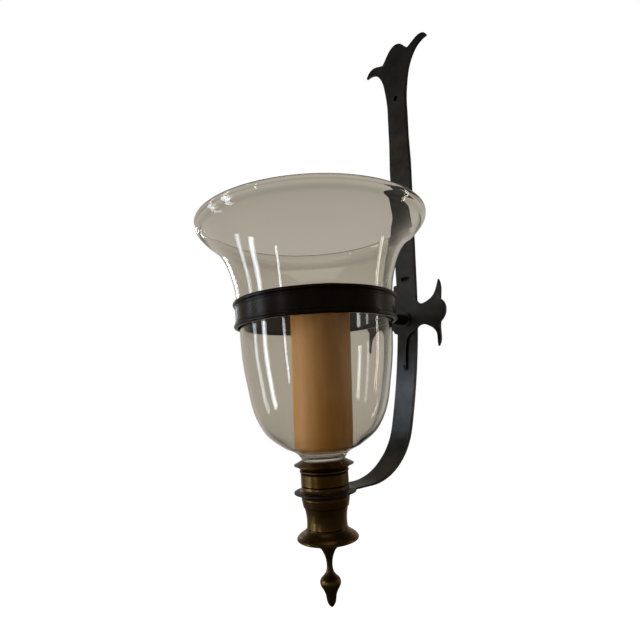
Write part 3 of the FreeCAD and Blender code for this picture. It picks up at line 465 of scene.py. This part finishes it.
# %% Cast the candle
LEAN = 0.027
CANDLE_SHIFT = 1.0 * MM
CANDLE_RADIUS = 25.3
POOL = 127.0
SLUMP, SLUMP_FROM, SLUMP_TALL = 0.8 * MM, 120, 14
lean_towards = Vector((math.cos(math.radians(YAW)), math.sin(math.radians(YAW)), 0))
candle_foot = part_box("candle")[0].z
side = [(0, 0), (23.9, 0), (24.9, 0.5), (CANDLE_RADIUS, 1.6)]
side += [(CANDLE_RADIUS, height) for height in range(8, 129, 8)]
rim = soft_line([(CANDLE_RADIUS, 130.5), (24.9, 132.6), (23.4, 133.9), (21.8, 133.2), (20.0, 130.6),
                 (16.5, 128.2), (9.0, 127.3), (0, POOL)])
shape = turn(side + rim, candle_foot)
for v in shape.verts:
    rise = v.co.z - candle_foot
    slump = 0.5 + 0.5 * math.sin(3 * math.atan2(v.co.x, v.co.y - AXIS.y) + 1.1)
    v.co += lean_towards * (rise * LEAN + CANDLE_SHIFT)
    v.co.z -= slump * SLUMP * max(0, rise / MM - SLUMP_FROM) / SLUMP_TALL
finish_piece(shape, "pillar_candle", "candle", "candle", (candle_wax,))

# %% [markdown]
# ## The wick
# Three strands of cotton are plaited, and the burnt end curls over. Each strand is a tube along a curve that
# winds round the middle line of the wick, a third of a turn behind the last.

# %% Plait the wick
STRANDS, STRAND_POINTS = 3, 18
STRAND_RADIUS = 0.42
PLAIT_RADIUS, PLAIT_STEP, PLAIT_TURN = 0.45, 0.62, 0.75
WICK_ROOT, CURL_FROM, CURL = -2.5, 3.0, 0.16
top_of_wax = Vector((0, -AXIS_OUT, candle_foot + POOL * MM))
top_of_wax += lean_towards * (POOL * MM * LEAN + CANDLE_SHIFT)
wick_curve = bpy.data.curves.new("wick", "CURVE")
wick_curve.dimensions = "3D"
wick_curve.bevel_depth = STRAND_RADIUS * MM
wick_curve.bevel_resolution = 3
wick_curve.resolution_u = 4
wick_curve.use_fill_caps = True
for strand in range(STRANDS):
    line = wick_curve.splines.new("NURBS")
    line.points.add(STRAND_POINTS - 1)
    for i, point in enumerate(line.points):
        rise = WICK_ROOT + i * PLAIT_STEP
        bend = max(0, rise - CURL_FROM) ** 2 * CURL
        turned_by = i * PLAIT_TURN + strand * 2 * math.pi / STRANDS
        offset = Vector((math.cos(turned_by), math.sin(turned_by), 0)) * PLAIT_RADIUS
        offset += Vector((bend, -bend * 0.6, rise - bend * 0.35))
        point.co = (*(top_of_wax + offset * MM), 1)
    line.order_u = 4
    line.use_endpoint_u = True
wick_holder = bpy.data.objects.new("wick", wick_curve)
shape = bmesh.new()
shape.from_mesh(bpy.data.meshes.new_from_object(wick_holder))
bpy.data.objects.remove(wick_holder)
finish_piece(shape, "plaited_wick", "candle", "candle_wick", (wick_cotton,), sharp=60)

# %% [markdown]
# ## The ring's band
# The band between the two beads was turned with a fine groove along each edge, and left very slightly hollow.
# The grooves hold the dark, and draw two thin lines round the ring.

# %% Turn the band
BORE = 65.65
HOLLOW = 0.42
FACE = (band_high.x - band_low.x) / 2 / MM
band_tall = (band_high.z - band_low.z) / MM
edge = [(0.0, 0.0), (0.0, 0.5), (-0.45, 0.65), (-0.45, 0.95), (0.0, 1.1), (0.0, 1.9), (-0.3, 2.2)]
lower = [(FACE + deep, rise) for deep, rise in edge]
upper = [(radius, band_tall - rise) for radius, rise in reversed(lower)]
middle = [(FACE - HOLLOW, band_tall / 2)]
shape = turn([(BORE, 0)] + lower + middle + upper + [(BORE, band_tall)], band_low.z, steps=128, closed=True)
finish_piece(shape, "grooved_band", "bracket", "ring_band", (ring_bronze,), sharp=25)

# %% [markdown]
# ## Dress the solids
# A node of the frame keeps its mesh and only gets its finish. The exact shapes from CAD are already right for
# the strap, the plate and the turned pieces.

# %% Give each node its finish
FINISHES = {
    "back_strap": iron_with_painted_light, "cross_plate": iron_with_painted_light, "ring_post": iron_with_painted_light,
    "plate_rivet": iron_with_painted_light,
    "ring_band": ring_bronze, "ring_bead_upper": ring_bronze, "ring_bead_lower": ring_bronze,
    "glass_shade": clear_glass, "foot_pad": pad_felt, "candle": candle_wax, "candle_wick": wick_cotton,
    "glass_cup": old_brass, "upper_collar": old_brass, "lower_body": old_brass, "skirt_cap": old_brass,
    "finial": old_brass, "centre_rod": plain_steel, "rod_nut": plain_steel, "rod_washer": plain_steel,
}
for node_name, finish in FINISHES.items():
    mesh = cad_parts[node_name].data
    mesh.materials.clear()
    mesh.materials.append(finish)
print("dressed", len(FINISHES), "of", len(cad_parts), "nodes")

# %% [markdown]
# ## The floor
# The sconce hangs free, high above a plain pale floor, so it can be seen from every side. The floor is hidden
# from glass and metal, because its edge would draw a false line in them.

# %% Lay the floor
FLOOR_DROP, FLOOR_RADIUS = 1.2, 6.0
floor_mesh = bpy.data.meshes.new("floor")
shape = bmesh.new()
bmesh.ops.create_circle(shape, cap_ends=True, segments=96, radius=FLOOR_RADIUS,
                        matrix=Matrix.Translation((0, 0, cad_low.z - FLOOR_DROP)))
shape.to_mesh(floor_mesh)
shape.free()
floor = put_in_scene("floor", floor_mesh)
pale_floor, tree, shader, place = start_material(
    "pale_floor", {"Roughness": 0.9, "Emission Color": linear("#ffffff"), "Emission Strength": 1.0})
cloud = add_node(tree, "TexNoise", {"Scale": 0.8, "Detail": 2.0}, {"Vector": place})
plaster = add_node(tree, "ValToRGB", links={"Fac": cloud.outputs["Fac"]},
                   stops=((0.2, "#f4f4f4"), (0.8, "#fafafa")))
tree.links.new(plaster.outputs["Color"], shader.inputs["Base Color"])
floor_mesh.materials.append(pale_floor)
floor.visible_diffuse = floor.visible_glossy = floor.visible_transmission = False
print("floor", FLOOR_DROP, "m under the light")

# %% [markdown]
# ## The dark in the screw holes
# A hung sconce's screw holes look dark, because what lies behind them is in shade. A dark scrap, a hair behind
# the strap, gives each hole that shade. The scraps are no part of the sconce.

# %% Shade the screw holes
SCRAP_GAP = 0.3 * MM
SLOT_HEIGHT = -0.17915
# Name, height and size of each scrap.
SCRAPS = (("shadow_low", SLOT_HEIGHT, (14 * MM, 6 * MM)), ("shadow_high", 0.0, (7 * MM, 7 * MM)))

hole_shade, tree, shader, place = start_material("shade_behind_screw_holes", {"Roughness": 1.0})
# Noise mottles the painted shade behind the holes.
shade_mottle_noise = add_node(tree, "TexNoise", {"Scale": grain(3)}, {"Vector": place})
dusk = add_node(tree, "ValToRGB", links={"Fac": shade_mottle_noise.outputs["Fac"]},
                stops=((0.3, "#0a0908"), (0.7, "#12100e")))
tree.links.new(dusk.outputs["Color"], shader.inputs["Base Color"])
for name, height, size in SCRAPS:
    scrap_mesh = bpy.data.meshes.new(name)
    shape = bmesh.new()
    bmesh.ops.create_grid(shape, size=0.5)
    bmesh.ops.scale(shape, vec=(*size, 1), verts=shape.verts)
    bmesh.ops.rotate(shape, matrix=Matrix.Rotation(math.radians(90), 3, "X"), verts=shape.verts)
    bmesh.ops.translate(shape, vec=(0, SCRAP_GAP, height), verts=shape.verts)
    shape.to_mesh(scrap_mesh)
    shape.free()
    scrap_mesh.materials.append(hole_shade)
    scrap = put_in_scene(name, scrap_mesh)
print("shaded both screw holes")

# %% [markdown]
# ## The room and its lamps
# The sky is white to the camera, and a soft warm grey room to everything that mirrors or bends light. The room
# is brightest straight ahead of the camera and dimmer to the sides, above and below, so the glass looks clear
# and the metals stay dark. Tall, narrow soft boxes stand in for windows: their reflections run as upright
# streaks down the left and right of the bell and the brass. The doorway is small and weak, far round to the
# left, and the ceiling fills in from above.

# %% Light the room
CAMERA_LOOKS = (-0.774, 0.633, 0.0)

world = bpy.data.worlds.new("soft_room")
bpy.context.scene.world = world
world.use_nodes = True
tree = world.node_tree
tree.nodes.clear()
seen = add_node(tree, "Background", {"Color": (1, 1, 1, 1), "Strength": 1.0})
looking = add_node(tree, "TexCoord").outputs["Generated"]
facing = add_node(tree, "VectorMath", {"operation": "DOT_PRODUCT", 1: CAMERA_LOOKS}, {0: looking})
depth = add_node(tree, "MapRange", {"From Min": 0.3, "From Max": 0.85}, {"Value": facing.outputs["Value"]})
ahead = add_node(tree, "ValToRGB", links={"Fac": depth.outputs["Result"]},
                 stops=((0.0, "#6a645c"), (1.0, "#b7b1a5")))
rise = add_node(tree, "SeparateXYZ", links={"Vector": looking}).outputs["Z"]
share = add_node(tree, "MapRange", {"From Min": -1.0, "From Max": 1.0}, {"Value": rise})
gloom = add_node(tree, "ValToRGB", links={"Fac": share.outputs["Result"]},
                 stops=((0.20, "#6b6259"), (0.92, "#4a4038"), (0.38, "#ffffff"), (0.66, "#ffffff")))
dim = add_node(tree, "MixRGB", {"blend_type": "MULTIPLY", "Fac": 1.0},
               {"Color1": ahead.outputs["Color"], "Color2": gloom.outputs["Color"]})
room = add_node(tree, "Background", links={"Color": dim.outputs["Color"]})
straight = add_node(tree, "LightPath").outputs["Is Camera Ray"]
sky = add_node(tree, "MixShader", links={"Fac": straight, 1: room.outputs[0], 2: seen.outputs[0]})
add_node(tree, "OutputWorld", links={"Surface": sky.outputs[0]})

MIDDLE = Vector((0, -0.12, -0.22))

# Name, bearing in degrees, height, distance, width and length in metres, watts and tint.
LAMPS = (
    ("window_left", 5, -0.05, 1.6, 0.05, 0.8, 1.5, "#f2f6ff"),
    ("window_far_left", -29, -0.1, 1.6, 0.18, 1.2, 6, "#e4eef6"),
    ("window_side", -49, -0.1, 1.6, 0.13, 1.2, 2.6, "#deecf6"),
    ("window_right", 150, 0.05, 1.6, 0.04, 0.9, 1.2, "#fff6e8"),
    ("doorway", -96, 0.3, 1.6, 0.06, 0.22, 0.5, "#deecf6"),
    ("ceiling", 40, 2.2, 0.3, 1.6, 1.6, 5, "#fffaf2"),
)


def soft_box(name, bearing, height, distance, width, tall, watts, tint):
    """A rectangular lamp that faces the sconce, at a bearing of 0 in front of it and 90 on its right."""
    lamp = put_in_scene(name, bpy.data.lights.new(name, "AREA"))
    lamp.data.shape = "RECTANGLE"
    lamp.data.size, lamp.data.size_y = width, tall
    lamp.data.energy = watts
    lamp.data.color = linear(tint)[:3]
    angle = math.radians(bearing)
    lamp.location = MIDDLE + Vector((math.sin(angle) * distance, -math.cos(angle) * distance, height))
    lamp.rotation_euler = (MIDDLE - lamp.location).to_track_quat("-Z", "Y").to_euler()


for lamp_settings in LAMPS:
    soft_box(*lamp_settings)

bpy.context.scene.view_settings.view_transform = "Standard"
